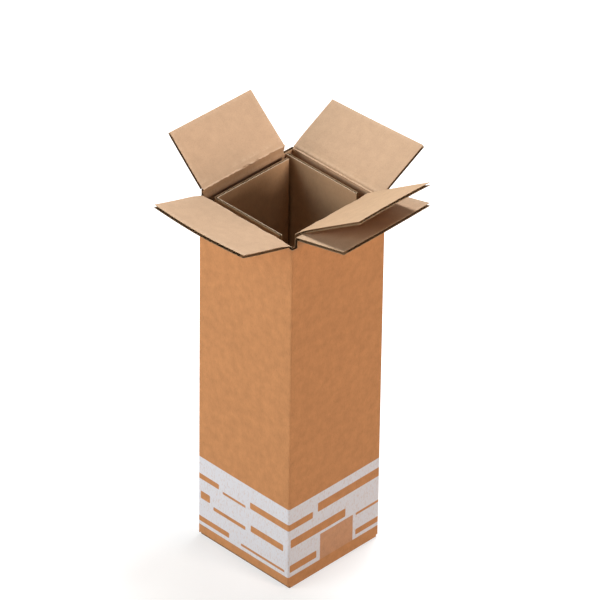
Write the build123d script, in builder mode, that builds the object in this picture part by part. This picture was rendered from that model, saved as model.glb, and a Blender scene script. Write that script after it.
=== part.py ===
from build123d import *
import os
from math import cos, degrees, pi, radians, sin, tan

os.makedirs("parts", exist_ok=True)

# Carton: a tall square box of single-wall corrugated board, modelled open
side = 130.0  # outer width of every wall
board = 3.5  # thickness of the carton board
wall_height = 416.8  # floor to where the left and right walls start to fold outwards
upright_fold_radius = 2.5  # outer radius of the four upright corners
bottom_fold_radius = 2.0  # outer radius where a wall turns under the box
seam = 0.5  # gap where two facing flaps meet
inside = side - 2 * board

# Flutes: the wave between the board's two liners, open at every cut edge that runs across it
flute_pitch = 6.5
paper = 0.45  # thickness of a liner, and of the wave
flute_slope = 55.0  # degrees, of the wave's sides
flute_end_depth = 12.0  # how far in from a cut edge the open ends are modelled

# Outer pair of top flaps (front and back): they fold last, over the inner pair
stack_room = 3.7  # height left between the inner pair's folds and the closed outer pair
score_gap = 0.3  # clearance of a mitred score, so that the flap turns freely
slot_inset = 3.25  # what a corner slot takes off the end of an outer flap
front_slot_inset = 7.25  # the same off the front flap's left end, where the slot is wider
back_slot_inset = 16.0  # the same off the back flap's right end, where it is widest
front_flap_turn = 75.5  # degrees outwards from upright
back_flap_turn = 47.5  # degrees outwards from upright
flap_depth = (side - seam) / 2
outer_flap_width = side - 2 * slot_inset
front_flap_width = side - front_slot_inset - slot_inset
back_flap_width = side - back_slot_inset - slot_inset
front_flap_middle = (front_slot_inset - slot_inset) / 2
back_flap_middle = (slot_inset - back_slot_inset) / 2
outer_score_height = wall_height + stack_room + board

# Inner pair of top flaps (left and right): they fold first, between the front and back walls
slot_clearance = 0.4  # gap between an inner flap's ends and those walls
slot_depth = 1.0  # how far the corner slots reach below the inner folds
crease_radius = 1.2  # hollow side of a folded crease
left_flap_turn = 76.0  # degrees outwards from upright
right_flap_turn = 61.5  # degrees outwards from upright
inner_flap_width = inside - 2 * slot_clearance
slot_width = side - inner_flap_width

# Glued lap that closes the blank, inside the front wall at its right end
lap_width = 32.0
lap_end_inset = 8.0

# Insert: one sheet folded into an upright sleeve, with a lid leaf on its front panel
insert_board = 3.0
sleeve_side_gap = 7.0  # between the sleeve and the carton's left and right walls
sleeve_end_gap = 6.0  # between the sleeve and the carton's front and back walls
sleeve_top_drop = 1.8  # the sleeve's top edges below the carton's inner folds
sleeve_fold_radius = 3.5  # outer radius of the sleeve's upright folds
sleeve_seam = 1.8  # open seam between the back panel's end and the right panel
tail_gap = 0.4  # from the end of the right panel to the carton's back wall
lid_inset = 5.5  # how much narrower the lid is than the sleeve, at either end
lid_shortfall = 11.0  # how much shorter the lid is than the sleeve is deep
lid_turn = 57.0  # degrees outwards from upright, over the front flap
lid_fold_drop = 2.2  # the lid's fold below the front flap's score
lid_crease_radius = 1.0  # hollow side of the lid's crease
relief_length = 15.0  # die-cut notches beside the lid: along the side panels
relief_depth = 14.0  # and down from their top edges
sleeve_width = inside - 2 * sleeve_side_gap
sleeve_depth = inside - 2 * sleeve_end_gap
sleeve_top = wall_height - sleeve_top_drop
lid_width = sleeve_width - 2 * lid_inset
lid_length = sleeve_depth - lid_shortfall
lid_fold_height = outer_score_height - lid_fold_drop

overrun = 5.0  # how far a cutting shape reaches past what it cuts


def leaf_end(fold, outward, turn, radius, length, thickness):
    """Plane of a leaf's cut end: x along the edge, y through the board, z out of it.

    The leaf leaves the upright wall at the point fold, on the face that looks outward, bends over a
    crease of that radius until it has turned by that many degrees, and runs straight from there.
    """
    up = Vector(0, 0, 1)
    along = outward * sin(radians(turn)) + up * cos(radians(turn))
    through = up * sin(radians(turn)) - outward * cos(radians(turn))
    tip = fold + (outward + through) * radius + along * length + through * (thickness / 2)
    return Plane(tip, x_dir=outward.cross(up), z_dir=along)


def flute_ends(edge, length, thickness):
    """Open ends of the flutes in a cut edge: two rows of cells, with the wave left between them."""
    cell_height = thickness - 3 * paper
    cell_base = flute_pitch / 2 - paper / sin(radians(flute_slope)) + cell_height / tan(radians(flute_slope))
    count = int(length / flute_pitch)
    with BuildSketch(edge, mode=Mode.PRIVATE) as cells:
        with Locations((0, -paper / 2)):
            with GridLocations(flute_pitch, flute_pitch, count, 1):
                Trapezoid(cell_base, cell_height, flute_slope)
        with Locations((0, paper / 2)):
            with GridLocations(flute_pitch, flute_pitch, count - 1, 1):
                Trapezoid(cell_base, cell_height, flute_slope, rotation=degrees(pi))
    return cells.sketch


# Carton: four walls standing on the folded bottom
floor_top = 2 * board
with BuildPart() as carton:
    with BuildSketch(Plane.XY.offset(board)):
        RectangleRounded(side, side, upright_fold_radius)
        Rectangle(inside, inside, mode=Mode.SUBTRACT)
    extrude(amount=wall_height - board)

    # a slot at each corner parts the flaps down to just below the inner folds
    with BuildSketch(Plane.XY.offset(wall_height - slot_depth)):
        with GridLocations(side, side, 2, 2):
            Rectangle(slot_width, slot_width)
    extrude(amount=slot_depth + overrun, mode=Mode.SUBTRACT)

    # bottom, outer layer: the front and back flaps, turned under and meeting at a seam
    with BuildSketch():
        Rectangle(outer_flap_width, side)
        Rectangle(side, seam, mode=Mode.SUBTRACT)
    extrude(amount=board)
    turned_under = carton.edges().filter_by(Axis.X).group_by(Axis.Z)[0].group_by(Axis.Y)
    fillet([*turned_under[0], *turned_under[-1]], bottom_fold_radius)

    # bottom, inner layer: the left and right flaps, laid on the outer layer
    with BuildSketch(Plane.XY.offset(board)):
        Rectangle(inside, inner_flap_width)
        Rectangle(seam, side, mode=Mode.SUBTRACT)
    extrude(amount=board)

    # the front and back walls stand higher and end in a mitre, so that a closed flap lies flat
    mitre_top = outer_score_height - score_gap
    for facing in (-1, 1):
        with BuildSketch(Plane.YZ):
            with BuildLine():
                Polyline(
                    (facing * side / 2, wall_height),
                    (facing * side / 2, mitre_top),
                    (facing * inside / 2, mitre_top - board),
                    (facing * inside / 2, wall_height),
                    close=True,
                )
            make_face()
        extrude(amount=inner_flap_width / 2, both=True)

    # the wider slots at the front and back corners take in an end of those walls' tops
    with BuildSketch(Plane.XY.offset(wall_height - slot_depth)):
        with Locations((-side / 2, -side / 2)):
            Rectangle(front_slot_inset, board, align=(Align.MIN, Align.MIN))
        with Locations((side / 2, side / 2)):
            Rectangle(back_slot_inset, board, align=(Align.MAX, Align.MAX))
    extrude(amount=slot_depth + stack_room + board, mode=Mode.SUBTRACT)

    # inner flaps: each wall bends outwards over its crease and runs on as a flat leaf
    for facing, turn in ((-1, left_flap_turn), (1, right_flap_turn)):
        with BuildSketch(Plane.XZ):
            with BuildLine():
                bend = JernArc((facing * side / 2, wall_height), (0, 1), crease_radius, -facing * turn)
                Line(bend @ 1, bend @ 1 + bend % 1 * flap_depth)
                offset(amount=board, side=Side.RIGHT if facing < 0 else Side.LEFT)
            make_face()
        extrude(amount=inner_flap_width / 2, both=True)
        fold = Vector(facing * side / 2, 0, wall_height)
        edge = leaf_end(fold, Vector(facing, 0, 0), turn, crease_radius, flap_depth, board)
        extrude(flute_ends(edge, inner_flap_width, board), amount=-flute_end_depth, mode=Mode.SUBTRACT)

    # glued lap
    with BuildSketch(Plane.XY.offset(floor_top + lap_end_inset)):
        with Locations((inside / 2, -inside / 2)):
            Rectangle(lap_width, board, align=(Align.MAX, Align.MIN))
    extrude(amount=wall_height - floor_top - 2 * lap_end_inset)
carton.part.label = "carton"
export_step(carton.part, "parts/carton.step")


def leaf_plane(facing, turn, middle):
    """Plane of an outer flap's section: x runs out along the flap, y through its thickness, up."""
    along = Vector(0, facing * sin(radians(turn)), cos(radians(turn)))
    return Plane((middle, facing * side / 2, outer_score_height), x_dir=along, z_dir=(facing, 0, 0))


# Front outer flap, lying under the insert's lid
with BuildPart() as flap_front:
    with BuildSketch(leaf_plane(-1, front_flap_turn, front_flap_middle)):
        with BuildLine():
            Polyline((0, 0), (flap_depth, 0), (flap_depth, board), (board, board), close=True)
        make_face()
    extrude(amount=front_flap_width / 2, both=True)
    score = Vector(front_flap_middle, -1 * side / 2, outer_score_height)
    edge = leaf_end(score, Vector(0, -1, 0), front_flap_turn, 0, flap_depth, board)
    extrude(flute_ends(edge, front_flap_width, board), amount=-flute_end_depth, mode=Mode.SUBTRACT)
flap_front.part.label = "flap_front"
export_step(flap_front.part, "parts/flap_front.step")

# Back outer flap
with BuildPart() as flap_back:
    with BuildSketch(leaf_plane(1, back_flap_turn, back_flap_middle)):
        with BuildLine():
            Polyline((0, 0), (flap_depth, 0), (flap_depth, board), (board, board), close=True)
        make_face()
    extrude(amount=back_flap_width / 2, both=True)
    score = Vector(back_flap_middle, 1 * side / 2, outer_score_height)
    edge = leaf_end(score, Vector(0, 1, 0), back_flap_turn, 0, flap_depth, board)
    extrude(flute_ends(edge, back_flap_width, board), amount=-flute_end_depth, mode=Mode.SUBTRACT)
flap_back.part.label = "flap_back"
export_step(flap_back.part, "parts/flap_back.step")

# Insert: sleeve, tail and lid, all one folded sheet that stands on the carton's floor
with BuildPart() as insert:
    with BuildSketch(Plane.XY.offset(floor_top)):
        RectangleRounded(sleeve_width, sleeve_depth, sleeve_fold_radius)
        with Locations((sleeve_width / 2, 0)):
            Rectangle(insert_board, inside / 2 - tail_gap, align=(Align.MAX, Align.MIN))
        RectangleRounded(
            sleeve_width - 2 * insert_board,
            sleeve_depth - 2 * insert_board,
            sleeve_fold_radius - insert_board,
            mode=Mode.SUBTRACT,
        )
        with Locations((sleeve_width / 2 - insert_board, sleeve_depth / 2)):
            Rectangle(sleeve_seam, 3 * insert_board, align=(Align.MAX, Align.CENTER), mode=Mode.SUBTRACT)
    extrude(amount=sleeve_top - floor_top)

    # relief notches at the two front folds
    with BuildSketch(Plane.XY.offset(sleeve_top - relief_depth)):
        for facing in (-1, 1):
            with Locations((facing * lid_width / 2, -sleeve_depth / 2)):
                Rectangle(
                    sleeve_width,
                    relief_length + insert_board,
                    align=(Align.MAX if facing < 0 else Align.MIN, Align.MIN),
                )
    extrude(amount=relief_depth + overrun, mode=Mode.SUBTRACT)

    # front panel carried up to its crease, and the lid folded out of it
    with BuildSketch(Plane.XY.offset(sleeve_top - relief_depth)):
        with Locations((0, -sleeve_depth / 2)):
            Rectangle(lid_width, insert_board, align=(Align.CENTER, Align.MIN))
    extrude(amount=lid_fold_height - sleeve_top + relief_depth)
    with BuildSketch(Plane.YZ):
        with BuildLine():
            bend = JernArc((-sleeve_depth / 2, lid_fold_height), (0, 1), lid_crease_radius, lid_turn)
            Line(bend @ 1, bend @ 1 + bend % 1 * lid_length)
            offset(amount=insert_board, side=Side.RIGHT)
        make_face()
    extrude(amount=lid_width / 2, both=True)
    fold = Vector(0, -sleeve_depth / 2, lid_fold_height)
    edge = leaf_end(fold, Vector(0, -1, 0), lid_turn, lid_crease_radius, lid_length, insert_board)
    extrude(flute_ends(edge, lid_width, insert_board), amount=-flute_end_depth, mode=Mode.SUBTRACT)

    # flutes open along the top of the left, right and back panels
    notch_end = -sleeve_depth / 2 + relief_length + insert_board
    for facing, far_end in ((-1, sleeve_depth / 2 - sleeve_fold_radius), (1, inside / 2 - tail_gap)):
        middle = (facing * (sleeve_width - insert_board) / 2, (notch_end + far_end) / 2, sleeve_top)
        cells = flute_ends(Plane(middle, x_dir=(0, 1, 0)), far_end - notch_end, insert_board)
        extrude(cells, amount=-flute_end_depth, mode=Mode.SUBTRACT)
    near_end, far_end = -sleeve_width / 2 + sleeve_fold_radius, sleeve_width / 2 - insert_board - sleeve_seam
    middle = ((near_end + far_end) / 2, (sleeve_depth - insert_board) / 2, sleeve_top)
    cells = flute_ends(Plane(middle), far_end - near_end, insert_board)
    extrude(cells, amount=-flute_end_depth, mode=Mode.SUBTRACT)
insert.part.label = "insert"
export_step(insert.part, "parts/insert.step")
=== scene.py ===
"""Bottle shipping box: a tall corrugated carton with open top flaps and an upright insert sleeve.

Every sheet is built as the board it is: two paper liners with a fluted paper between them. The liners
are grids folded over the scores, the flutes come from a Geometry Nodes tree, and both are laid along
the same fold lines as the CAD solids they stand for.
"""
import logging
import math
from dataclasses import asdict, dataclass, field
from enum import Enum
from typing import Callable, Optional, Sequence

import bmesh
import bpy
import numpy as np
from mathutils import Matrix, Vector, noise


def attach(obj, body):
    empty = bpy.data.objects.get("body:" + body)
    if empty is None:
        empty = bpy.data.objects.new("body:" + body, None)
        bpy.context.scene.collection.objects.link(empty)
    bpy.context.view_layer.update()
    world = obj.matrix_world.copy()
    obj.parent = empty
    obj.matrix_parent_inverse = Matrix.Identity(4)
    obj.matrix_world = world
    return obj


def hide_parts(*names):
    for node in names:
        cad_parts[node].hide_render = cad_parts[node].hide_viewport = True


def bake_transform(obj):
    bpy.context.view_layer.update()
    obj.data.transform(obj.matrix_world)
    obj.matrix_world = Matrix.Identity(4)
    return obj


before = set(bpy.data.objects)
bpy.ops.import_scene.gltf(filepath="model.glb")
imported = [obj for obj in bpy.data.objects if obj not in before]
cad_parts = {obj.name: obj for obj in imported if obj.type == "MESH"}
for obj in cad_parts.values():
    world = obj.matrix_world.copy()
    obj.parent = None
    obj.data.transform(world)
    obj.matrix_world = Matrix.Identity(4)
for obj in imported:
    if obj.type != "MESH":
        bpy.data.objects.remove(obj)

LOG = logging.getLogger("bottle_shipping_box")
MM = 0.001
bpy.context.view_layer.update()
SLACK = 0.01 * MM
HAIR = 0.001 * MM
RIPPLE_GAIN = 1.6
RIPPLE_PLANE = 7.3
CORNER_STEPS = 6
EDGE_INSET = 0.4 * MM
LEVEL_DECIMALS = 7
SHEET_UV = "sheet"
WEAR_AND_HIGHLIGHT = "wear_and_highlight"
UP = np.array([0.0, 0.0, 1.0])

Socket, Sockets, Tree = bpy.types.NodeSocket, bpy.types.bpy_prop_collection, bpy.types.NodeTree
Material, Piece = bpy.types.Material, bpy.types.Object
Span = tuple[float, float]
Triple = tuple[float, float, float]
Colour = tuple[float, float, float, float]
Place = Callable[[float], np.ndarray]


class Side(Enum):
    """The four upright panels of a box, in the order in which its sheet runs round it."""

    LEFT = 0
    FRONT = 1
    RIGHT = 2
    BACK = 3

    @property
    def outward(self) -> np.ndarray:
        """Level direction that the panel's outer face looks to."""
        return np.array([(-1.0, 0.0), (0.0, -1.0), (1.0, 0.0), (0.0, 1.0)][self.value])

    @property
    def along(self) -> np.ndarray:
        """Level direction in which the sheet runs along the panel."""
        x, y = self.outward
        return np.array([-y, x])


SHEET_ORDER = (Side.BACK, Side.LEFT, Side.FRONT, Side.RIGHT)


class Paper(Enum):
    """The papers of a sheet, each with its own material slot on a piece."""

    OUTSIDE = 0
    INSIDE = 1
    FLUTE = 2
    # CUT: cut edges in a darkened paper, painted shade standing in for the shadowed flute ends
    CUT = 3
    # LIT_RIM: the sleeve's cut edges in a pale paper, a painted highlight for top edges that face up into
    # the light
    LIT_RIM = 4


@dataclass(frozen=True)
class Board:
    """One grade of corrugated board."""

    thickness: float
    liner: float = 0.45 * MM
    pitch: float = 6.5 * MM
    flute_paper: float = 0.3 * MM

    @property
    def wave(self) -> float:
        """Height of the flute's middle line, from trough to crest."""
        return self.thickness - 2 * self.liner - self.flute_paper


@dataclass(frozen=True)
class Fold:
    """A crease at the top of a panel, over which a leaf leans outwards."""

    height: float
    hollow: float
    turn: float
    length: float

    @property
    def angle(self) -> float:
        """Turn from upright, in radians."""
        return math.radians(self.turn)

    @property
    def flat(self) -> float:
        """Level where the leaf runs straight, measured along the sheet's outer face."""
        return self.height + self.hollow * self.angle

    @property
    def tip(self) -> float:
        """Level of the leaf's cut end."""
        return self.flat + self.length


@dataclass(frozen=True)
class Foot:
    """The fold at the bottom of a panel, where its flap turns under the box."""

    height: float
    radius: float
    reach: float

    @property
    def arc_top(self) -> float:
        """Level where the panel starts to turn under."""
        return self.height + self.radius

    @property
    def arc_end(self) -> float:
        """Level where the flap lies flat."""
        return self.arc_top - self.radius * math.pi / 2

    @property
    def tip(self) -> float:
        """Level of the flap's free edge."""
        return self.arc_end - (self.reach - self.radius)


@dataclass(frozen=True)
class Sag:
    """How a leaf bends out of its plane, more and more towards its free end."""

    length: float
    ends: float
    middle: float
    width: float

    def lift(self, x: np.ndarray, out: np.ndarray) -> np.ndarray:
        """Lift of the points at those places along the crease and out from it."""
        return (out / self.length) ** 2 * (self.ends + self.middle * np.cos(x / self.width))


def ripple(along: np.ndarray, seed: float, scale: float) -> np.ndarray:
    """Smooth random wave between about -1 and 1, the same on each run.

    Args:
        along: Distances along the wave.
        seed: Picks the wave.
        scale: Length over which it changes.

    Returns:
        The wave's height at each distance.
    """
    flat = np.asarray(along, float).ravel()
    high = [noise.noise((a / scale, seed, RIPPLE_PLANE - seed)) for a in flat]
    return np.array(high).reshape(np.shape(along)) * RIPPLE_GAIN


def spread(low: float, high: float, step: float) -> list[float]:
    """Evenly spaced values from low to high, no further apart than step."""
    return list(np.linspace(low, high, max(2, int(math.ceil((high - low) / step)) + 1)))


def tidy_levels(*groups: Sequence[float]) -> np.ndarray:
    """Sorted levels with near doubles left out."""
    merged = np.unique(np.round(np.concatenate([np.asarray(g, float) for g in groups]), LEVEL_DECIMALS))
    return merged[np.concatenate([[True], np.diff(merged) > 2 * SLACK])]


def near_any(values: np.ndarray, marks: Sequence[float], width: float) -> np.ndarray:
    """How close each value is to one of the marks: 1 on it, falling to 0 over about that width."""
    gap = np.min(np.abs(np.asarray(values)[..., None] - np.asarray(marks)), axis=-1)
    return np.exp(-(gap / width) ** 2)


def flat_places(xs: Sequence[float], levels: Sequence[float]) -> np.ndarray:
    """Places on the flat sheet of a grid, columns by levels by 2."""
    return np.stack(np.meshgrid(xs, levels, indexing="ij"), axis=-1)


class Stock:
    """Points and faces of one piece, gathered until they become its mesh."""

    WELD = 0.004 * MM
    SLIVER = 0.002 * MM

    def __init__(self) -> None:
        """Starts an empty stock."""
        self.points: list[np.ndarray] = []
        self.runs: list[np.ndarray] = []
        self.wear_and_highlight: list[np.ndarray] = []
        self.faces: list[list[int]] = []
        self.papers: list[int] = []
        self.count = 0

    def add(self, points: np.ndarray, faces: Sequence[Sequence[int]], papers: Sequence[int],
            runs: Optional[np.ndarray] = None, wear_and_highlight: Optional[np.ndarray] = None) -> None:
        """Adds a shell.

        Args:
            points: Places, in metres.
            faces: Point numbers of each face.
            papers: Paper of each face.
            runs: Place on the flat sheet of each point, for the UV map.
            wear_and_highlight: How much each point is rubbed, from 0 to 1; on a crease bead, how strong its
                painted highlight is.
        """
        number = len(points)
        self.points.append(points)
        self.runs.append(np.zeros((number, 2)) if runs is None else runs)
        self.wear_and_highlight.append(np.zeros(number) if wear_and_highlight is None else wear_and_highlight)
        self.faces += [[self.count + i for i in f] for f in faces]
        self.papers += list(papers)
        self.count += number

    def piece(self, name: str, materials: Sequence[Material]) -> Piece:
        """Makes the piece's object.

        Args:
            name: The piece's name.
            materials: One material for each paper, in the order of Paper.

        Returns:
            The object, at the origin, with closed shells whose faces point outwards.
        """
        points, runs = np.concatenate(self.points), np.concatenate(self.runs)
        mesh = bpy.data.meshes.new(name)
        mesh.from_pydata(points.tolist(), [], self.faces)
        mesh.polygons.foreach_set("material_index", self.papers)
        uv = mesh.uv_layers.new(name=SHEET_UV)
        corners = np.zeros(len(mesh.loops), np.int32)
        mesh.loops.foreach_get("vertex_index", corners)
        uv.data.foreach_set("uv", runs[corners].ravel())
        rub_and_highlight = mesh.attributes.new(WEAR_AND_HIGHLIGHT, "FLOAT", "POINT")
        rub_and_highlight.data.foreach_set("value", np.concatenate(self.wear_and_highlight).astype(np.float32))
        for material in materials:
            mesh.materials.append(material)
        shell = bmesh.new()
        shell.from_mesh(mesh)
        bmesh.ops.remove_doubles(shell, verts=shell.verts, dist=self.WELD)
        bmesh.ops.dissolve_degenerate(shell, edges=shell.edges, dist=self.SLIVER)
        bmesh.ops.recalc_face_normals(shell, faces=shell.faces)
        shell.to_mesh(mesh)
        shell.free()
        mesh.update()
        piece = bpy.data.objects.new(name, mesh)
        bpy.context.scene.collection.objects.link(piece)
        return piece


@dataclass
class Sheet:
    """A grid of cells, columns by levels, that is laid as paper or as board.

    place gives the grid's points at a depth in the board, from its outer face. runs are the points' places
    on the flat sheet, wear_and_highlight says how much they are rubbed (on a crease bead, how strong its
    painted highlight is), and keep which cells there are. The last column of a closed sheet lies on its
    first.
    Below level number rim_end, the inner liner's cut edges are a pale rim, a painted highlight.
    """

    place: Place
    runs: np.ndarray
    wear_and_highlight: np.ndarray
    keep: Optional[np.ndarray] = None
    closed: bool = False
    rim_end: int = 0

    def __post_init__(self) -> None:
        """Keeps every cell where nothing else is said."""
        if self.keep is None:
            self.keep = np.ones(np.subtract(self.wear_and_highlight.shape, 1), bool)

    def kept(self, i: int, j: int) -> bool:
        """Whether the sheet has that cell."""
        wide, high = self.keep.shape
        return (self.closed or 0 <= i < wide) and 0 <= j < high and bool(self.keep[i % wide, j])

    def lay_liner(self, stock: Stock, span: Span, papers: tuple[Paper, Paper], rim_end: int = 0) -> None:
        """Adds one liner: the cells that are kept, as a closed sheet of paper.

        Args:
            stock: The piece's stock.
            span: Depths of the liner's two faces, from the board's outer face.
            papers: Papers of the outer and the inner face.
            rim_end: Level number below which the cut edges are a pale rim, a painted highlight.
        """
        points = np.concatenate([self.place(depth).reshape(-1, 3) for depth in span])
        levels, half = self.wear_and_highlight.shape[1], self.wear_and_highlight.size
        faces, kinds = [], []
        for i, j in zip(*np.nonzero(self.keep)):
            first = i * levels + j
            ring = [first, first + levels, first + levels + 1, first + 1]
            faces += [ring, [half + p for p in reversed(ring)]]
            kinds += [papers[0].value, papers[1].value]
            for k, beside in enumerate(((i, j - 1), (i + 1, j), (i, j + 1), (i - 1, j))):
                if not self.kept(*beside):
                    p, q = ring[k], ring[(k + 1) % 4]
                    faces.append([q, p, half + p, half + q])
                    # Cut edge faces: the pale rim paper below rim_end, a painted highlight; elsewhere the
                    # darkened cut paper, painted shade
                    kinds.append(Paper.LIT_RIM.value if j < rim_end else Paper.CUT.value)
        used = np.unique(np.concatenate([np.array(f) for f in faces]))
        number = np.full(2 * half, -1)
        number[used] = np.arange(len(used))
        stock.add(points[used], [[int(number[p]) for p in f] for f in faces], kinds,
                  np.tile(self.runs.reshape(-1, 2), (2, 1))[used], np.tile(self.wear_and_highlight.ravel(), 2)[used])

    def lay_board(self, stock: Stock, board: Board) -> None:
        """Adds both liners of a board.

        Args:
            stock: The piece's stock.
            board: The board's grade.
        """
        outer, inner = (0.0, board.liner), (board.thickness - board.liner, board.thickness)
        self.lay_liner(stock, outer, (Paper.OUTSIDE, Paper.FLUTE))
        self.lay_liner(stock, inner, (Paper.FLUTE, Paper.INSIDE), self.rim_end)


class Wiring:
    """Adds and links nodes in one tree.

    MIX_SHARE, MIX_A, MIX_B and MIXED are the numbers of a Mix node's sockets for colours.
    """

    MIX_SHARE, MIX_A, MIX_B, MIXED = 0, 6, 7, 2

    def __init__(self, tree: Tree) -> None:
        """Keeps the tree."""
        self.tree = tree

    def add(self, kind: str, inputs: Optional[dict] = None, **settings: object) -> bpy.types.Node:
        """Adds a node.

        Args:
            kind: The node's type.
            inputs: Socket to link, or value to set, for each input's name or number.
            settings: Attributes to set on it.

        Returns:
            The node.
        """
        node = self.tree.nodes.new(kind)
        for name, value in settings.items():
            setattr(node, name, value)
        for name, value in (inputs or {}).items():
            if isinstance(value, Socket):
                self.link(value, node.inputs[name])
            else:
                node.inputs[name].default_value = value
        return node

    def link(self, source: Socket, target: Socket) -> None:
        """Links two sockets."""
        self.tree.links.new(source, target)

    def math(self, operation: str, a: object, b: object = 0.0, clamp: bool = False) -> Socket:
        """Adds a Math node and returns its result."""
        return self.add("ShaderNodeMath", {0: a, 1: b}, operation=operation, use_clamp=clamp).outputs[0]

    def ramp(self, value: object, low: object, high: object) -> Socket:
        """Adds a smooth step from 0 at low to 1 at high and returns its result."""
        span = {"Value": value, "From Min": low, "From Max": high}
        return self.add("ShaderNodeMapRange", span, interpolation_type="SMOOTHSTEP").outputs[0]

    def mix(self, share: object, a: object, b: object) -> Socket:
        """Adds a colour Mix node and returns its result."""
        inputs = {self.MIX_SHARE: share, self.MIX_A: a, self.MIX_B: b}
        return self.add("ShaderNodeMix", inputs, data_type="RGBA").outputs[self.MIXED]

    def noise(self, vector: Socket, scale: float, detail: float) -> Socket:
        """Adds a Noise Texture and returns its value."""
        look = {"Vector": vector, "Scale": scale, "Detail": detail}
        return self.add("ShaderNodeTexNoise", look).outputs["Fac"]

    def flat_place(self) -> Sockets:
        """Adds the place on the flat sheet and returns its run as X and its level as Y."""
        flat = self.add("ShaderNodeUVMap", uv_map=SHEET_UV)
        return self.add("ShaderNodeSeparateXYZ", {0: flat.outputs[0]}).outputs


def fresh_wiring(owner: bpy.types.ID) -> Wiring:
    """Empties a node tree.

    Args:
        owner: The material or world that has it.

    Returns:
        The tree's wiring.
    """
    owner.use_nodes = True
    owner.node_tree.nodes.clear()
    return Wiring(owner.node_tree)


def new_group(name: str, inputs: dict[str, str],
              outputs: dict[str, str]) -> tuple[Wiring, Sockets, Sockets]:
    """Starts a shader node group.

    Args:
        name: The group's name.
        inputs: Kind of each named input.
        outputs: Kind of each named output.

    Returns:
        The group's wiring, the sockets that it is given and the sockets that it puts out.
    """
    tree = bpy.data.node_groups.new(name, "ShaderNodeTree")
    for way, sockets in (("INPUT", inputs), ("OUTPUT", outputs)):
        for label, kind in sockets.items():
            tree.interface.new_socket(name=label, in_out=way, socket_type=f"NodeSocket{kind}")
    w = Wiring(tree)
    return w, w.add("NodeGroupInput").outputs, w.add("NodeGroupOutput").inputs


class FluteTree:
    """Geometry Nodes tree that makes the fluted paper of a board, flat, as one closed sheet."""

    SIZES = {"Flutes": "Int", "Rows": "Int", "Pitch": "Float", "Length": "Float", "Wave": "Float",
             "Thickness": "Float"}
    WAVE_POINTS = 11

    def __init__(self, paper: Material) -> None:
        """Builds the tree.

        Args:
            paper: Material of the fluted paper.
        """
        self.tree = bpy.data.node_groups.new("Fluted paper", "GeometryNodeTree")
        face, self.keys = self.tree.interface, {}
        for name, kind in self.SIZES.items():
            made = face.new_socket(name=name, in_out="INPUT", socket_type=f"NodeSocket{kind}")
            self.keys[name] = made.identifier
        face.new_socket(name="Geometry", in_out="OUTPUT", socket_type="NodeSocketGeometry")
        w = Wiring(self.tree)
        given = w.add("NodeGroupInput").outputs
        sheet = w.add("GeometryNodeMeshGrid", {
            "Size X": given["Pitch"], "Size Y": given["Length"], "Vertices X": self.WAVE_POINTS,
            "Vertices Y": given["Rows"]})
        place = w.add("ShaderNodeSeparateXYZ", {0: w.add("GeometryNodeInputPosition").outputs[0]})
        turn = w.math("DIVIDE", w.math("MULTIPLY", place.outputs["X"], 2 * math.pi), given["Pitch"])
        rise = w.math("MULTIPLY", w.math("COSINE", turn), w.math("MULTIPLY", given["Wave"], 0.5))
        lift = w.add("ShaderNodeCombineXYZ", {"Z": rise})
        bent = w.add("GeometryNodeSetPosition", {
            "Geometry": sheet.outputs["Mesh"], "Offset": lift.outputs[0]})
        step = w.add("ShaderNodeCombineXYZ", {"X": given["Pitch"]})
        row = w.add("GeometryNodeMeshLine", {"Count": given["Flutes"], "Offset": step.outputs[0]})
        waves = w.add("GeometryNodeInstanceOnPoints", {
            "Points": row.outputs["Mesh"], "Instance": bent.outputs["Geometry"]})
        real = w.add("GeometryNodeRealizeInstances", {0: waves.outputs[0]})
        whole = w.add("GeometryNodeMergeByDistance", {"Geometry": real.outputs[0], "Distance": SLACK})
        thick = w.add("GeometryNodeExtrudeMesh", {
            "Mesh": whole.outputs[0], "Offset Scale": given["Thickness"], "Individual": False})
        back = w.add("GeometryNodeFlipFaces", {0: whole.outputs[0]})
        both = w.add("GeometryNodeJoinGeometry", {0: back.outputs[0]})
        w.link(thick.outputs["Mesh"], both.inputs[0])
        shut = w.add("GeometryNodeMergeByDistance", {"Geometry": both.outputs[0], "Distance": SLACK})
        dressed = w.add("GeometryNodeSetMaterial", {"Geometry": shut.outputs[0], "Material": paper})
        w.add("NodeGroupOutput", {0: dressed.outputs[0]})

    def make(self, board: Board, width: float, length: float,
             rows: int) -> tuple[np.ndarray, list[list[int]]]:
        """Makes the fluted paper of a panel.

        Args:
            board: The board's grade.
            width: Room across the flutes.
            length: Length along the flutes.
            rows: Points along each flute.

        Returns:
            Points, as distance from the panel's middle, distance along the flutes and depth in the
            board, and the faces.
        """
        flutes = int(width / board.pitch)
        carrier = bpy.data.objects.new("flutes", bpy.data.meshes.new("flutes"))
        bpy.context.scene.collection.objects.link(carrier)
        change = carrier.modifiers.new("flutes", "NODES")
        change.node_group = self.tree
        sizes = (flutes, rows, board.pitch, length, board.wave, board.flute_paper)
        for name, value in zip(self.SIZES, sizes):
            change[self.keys[name]] = value
        seen = carrier.evaluated_get(bpy.context.evaluated_depsgraph_get())
        mesh = bpy.data.meshes.new_from_object(seen)
        points = np.zeros(len(mesh.vertices) * 3)
        mesh.vertices.foreach_get("co", points)
        points = points.reshape(-1, 3)
        faces = [list(p.vertices) for p in mesh.polygons]
        bpy.data.objects.remove(carrier)
        bpy.data.meshes.remove(mesh)
        points[:, 0] -= (flutes - 1) * board.pitch / 2
        points[:, 1] += length / 2
        points[:, 2] += board.thickness / 2 - board.flute_paper / 2
        return points, faces


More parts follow.
